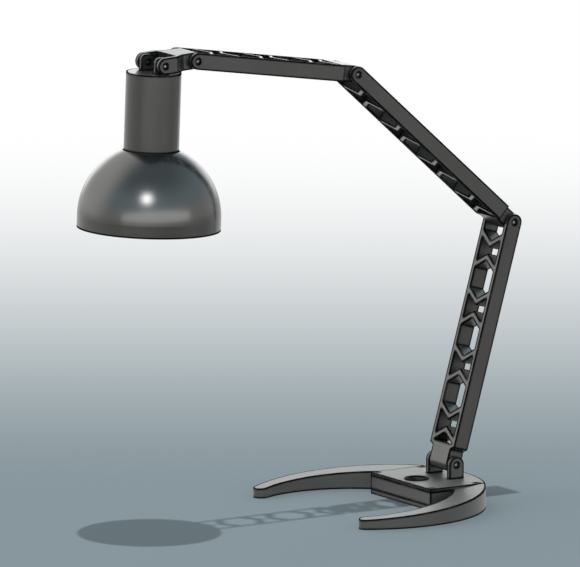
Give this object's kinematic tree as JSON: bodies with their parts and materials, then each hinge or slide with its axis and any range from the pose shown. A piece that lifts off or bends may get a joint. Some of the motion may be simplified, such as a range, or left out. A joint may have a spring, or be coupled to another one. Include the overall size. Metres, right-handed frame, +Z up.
{
  "type": "desk lamp",
  "caption": "Articulated desk lamp: a horseshoe base, latticed links joined by fork and tongue hinges, and a domed shade under a straight neck.",
  "frame": {"origin": "on the table under the base hinge, at the middle of the width", "axes": "+Z up from the table, Y along every arm hinge, and the arm reaches from the base hinge towards -X"},
  "size_m": [0.4529, 0.222, 0.4377],
  "materials": {
    "cast_base": "satin dark grey coat",
    "coated_steel": "satin dark grey coat",
    "satin_metal": "satin dark grey coat",
    "shade_metal": "semi-gloss dark steel-blue outside, white inside",
    "steel": "turned steel",
    "black_plastic": "fine matt",
    "rocker_plastic": "gloss",
    "white_plastic": "matt",
    "brass": "plain",
    "bulb_metal": "bright nickel plate",
    "opal_glass": "opal white"
  },
  "bodies": {
    "base": {"base_shell": "cast_base", "bottom_cover": "coated_steel", "cover_screws": "steel", "base_lid": "coated_steel", "lid_screws": "steel", "switch_housing": "black_plastic", "switch_terminals": "brass", "power_inlet": "black_plastic", "inlet_pins": "steel", "terminal_block": "white_plastic", "terminal_clamps": "brass", "base_hinge_pin": "steel", "base_hinge_washers": "white_plastic"},
    "rocker": {"switch_rocker": "rocker_plastic"},
    "lower_link": {"lower_arm": "satin_metal", "lower_elbow_pin": "steel", "lower_elbow_washers": "white_plastic"},
    "middle_link": {"middle_arm": "satin_metal", "upper_elbow_pin": "steel", "upper_elbow_washers": "white_plastic"},
    "upper_link": {"upper_arm": "satin_metal", "yoke_hinge_pin": "steel", "yoke_hinge_washers": "white_plastic"},
    "yoke": {"yoke": "satin_metal", "head_hinge_pins": "steel", "head_hinge_washers": "white_plastic"},
    "head": {"neck_housing": "satin_metal", "holder_nipple": "steel", "holder_cap": "black_plastic", "holder_skirt": "black_plastic", "holder_insert": "white_plastic", "holder_screw_shell": "brass", "holder_contact": "brass", "shade": "shade_metal", "shade_ring": "black_plastic", "bulb_cap": "bulb_metal", "bulb_collar": "white_plastic", "bulb_globe": "opal_glass"}
  },
  "joints": [
    {"name": "base_hinge", "type": "hinge", "parent": "base", "child": "lower_link", "pos_m": [0, 0, 0.0326], "axis": [0, -1, 0], "range_deg": [-35, 30]},
    {"name": "lower_elbow", "type": "hinge", "parent": "lower_link", "child": "middle_link", "pos_m": [0.0624, 0, 0.25079], "axis": [0, 1, 0], "range_deg": [-35, 64]},
    {"name": "upper_elbow", "type": "hinge", "parent": "middle_link", "child": "upper_link", "pos_m": [-0.10641, 0, 0.40247], "axis": [0, -1, 0], "range_deg": [-32, 75]},
    {"name": "yoke_hinge", "type": "hinge", "parent": "upper_link", "child": "yoke", "pos_m": [-0.27744, 0, 0.4302], "axis": [0, 1, 0], "range_deg": [-55, 90]},
    {"name": "head_tilt", "type": "hinge", "parent": "yoke", "child": "head", "pos_m": [-0.31211, 0, 0.42884], "axis": [0, 1, 0], "range_deg": [-4, 90]},
    {"name": "switch_rock", "type": "hinge", "parent": "base", "child": "rocker", "pos_m": [-0.0309, 0, 0.0186], "axis": [0, -1, 0], "range_deg": [0, 20]}
  ]
}
